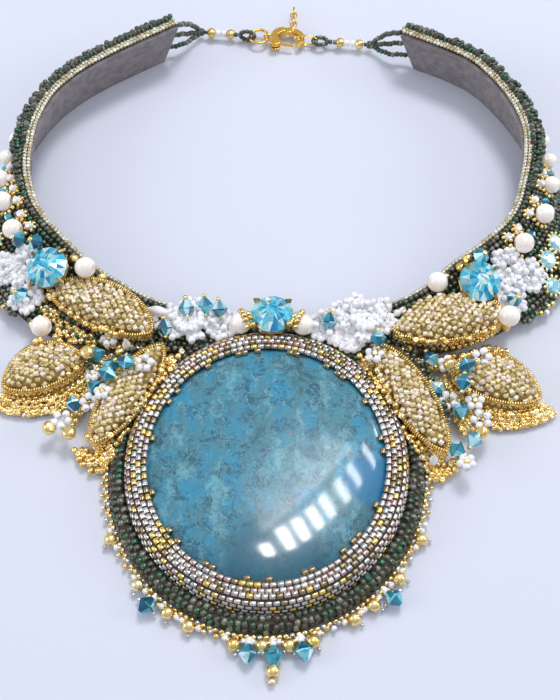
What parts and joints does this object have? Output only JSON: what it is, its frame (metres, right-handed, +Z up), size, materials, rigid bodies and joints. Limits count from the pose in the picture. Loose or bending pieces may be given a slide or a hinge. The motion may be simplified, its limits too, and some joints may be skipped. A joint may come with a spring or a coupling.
{
  "type": "bib necklace",
  "caption": "Bead embroidered bib necklace with a large blue oval stone, beaded leaves, a leather lined collar and a lobster clasp, lying open.",
  "frame": {"origin": "under the middle of the pendant, on the surface the necklace lies on", "axes": "+Z up from that surface, +Y from the pendant to the clasp, +X to the right in front view"},
  "size_m": [0.1499, 0.1994, 0.0151],
  "materials": {
    "blue_stone": "polished blue-green stone, mottled with pale veins",
    "bezel_beads": "metallic gold, silver and lilac cylinder beads",
    "dark_beads": "matte dark green iris seed beads",
    "grey_leather": "matt grey-mauve leather",
    "champagne_beads": "silver-lined champagne seed beads",
    "gold_wire": "bright gold coiled wire",
    "gold_beads": "polished gold plate",
    "aqua_crystal": "cut and foiled aqua crystal",
    "pearl": "pearl coat",
    "white_beads": "chalk white seed beads",
    "opal_crystal": "pale opal cut crystal"
  },
  "bodies": {
    "necklace": {"pendant_backing": "grey_leather", "cabochon": "blue_stone", "beaded_bezel": "bezel_beads", "pendant_border": "dark_beads", "pendant_fringe": "gold_beads", "lining_left": "grey_leather", "collar_left": "dark_beads", "lining_right": "grey_leather", "collar_right": "dark_beads", "rivoli_center": "aqua_crystal", "setting_center": "gold_beads", "rivoli_left": "aqua_crystal", "setting_left": "gold_beads", "rivoli_right": "aqua_crystal", "setting_right": "gold_beads", "leaf_upper_left": "champagne_beads", "purl_upper_left": "gold_wire", "leaf_outer_left": "champagne_beads", "purl_outer_left": "gold_wire", "leaf_lower_left": "champagne_beads", "purl_lower_left": "gold_wire", "leaf_upper_right": "champagne_beads", "purl_upper_right": "gold_wire", "leaf_outer_right": "champagne_beads", "purl_outer_right": "gold_wire", "leaf_lower_right": "champagne_beads", "purl_lower_right": "gold_wire", "pearl_left_1": "pearl", "pearl_left_2": "pearl", "pearl_left_3": "pearl", "pearl_left_4": "pearl", "pearl_left_5": "pearl", "pearl_leaf_left": "pearl", "pearl_neck_left": "pearl", "pearl_center_left": "pearl", "pearl_right_1": "pearl", "pearl_right_2": "pearl", "pearl_right_3": "pearl", "pearl_right_4": "pearl", "pearl_right_5": "pearl", "pearl_leaf_right": "pearl", "pearl_neck_right": "pearl", "pearl_center_right": "pearl", "flower_center_left": "white_beads", "flower_left": "white_beads", "side_ornament_left": "opal_crystal", "spray_left": "white_beads", "flower_center_right": "white_beads", "flower_right": "white_beads", "side_ornament_right": "opal_crystal", "spray_right": "white_beads", "clasp_body": "gold_beads", "jump_ring_left": "gold_wire", "jump_ring_right": "gold_wire", "bead_link_left": "gold_beads", "bead_link_right": "gold_beads", "bead_loops_left": "dark_beads", "bead_loops_right": "dark_beads", "extension_chain": "gold_beads"},
    "clasp_lever_body": {"clasp_lever": "gold_beads"}
  },
  "joints": [
    {"name": "clasp_lever_hinge", "type": "hinge", "parent": "necklace", "child": "clasp_lever_body", "pos_m": [-0.00237, 0.1342, 0.0022], "axis": [0, 0, 1], "range_deg": [0, 25], "stiffness_Nm_per_rad": 0.006, "springref_deg": -14.32}
  ]
}
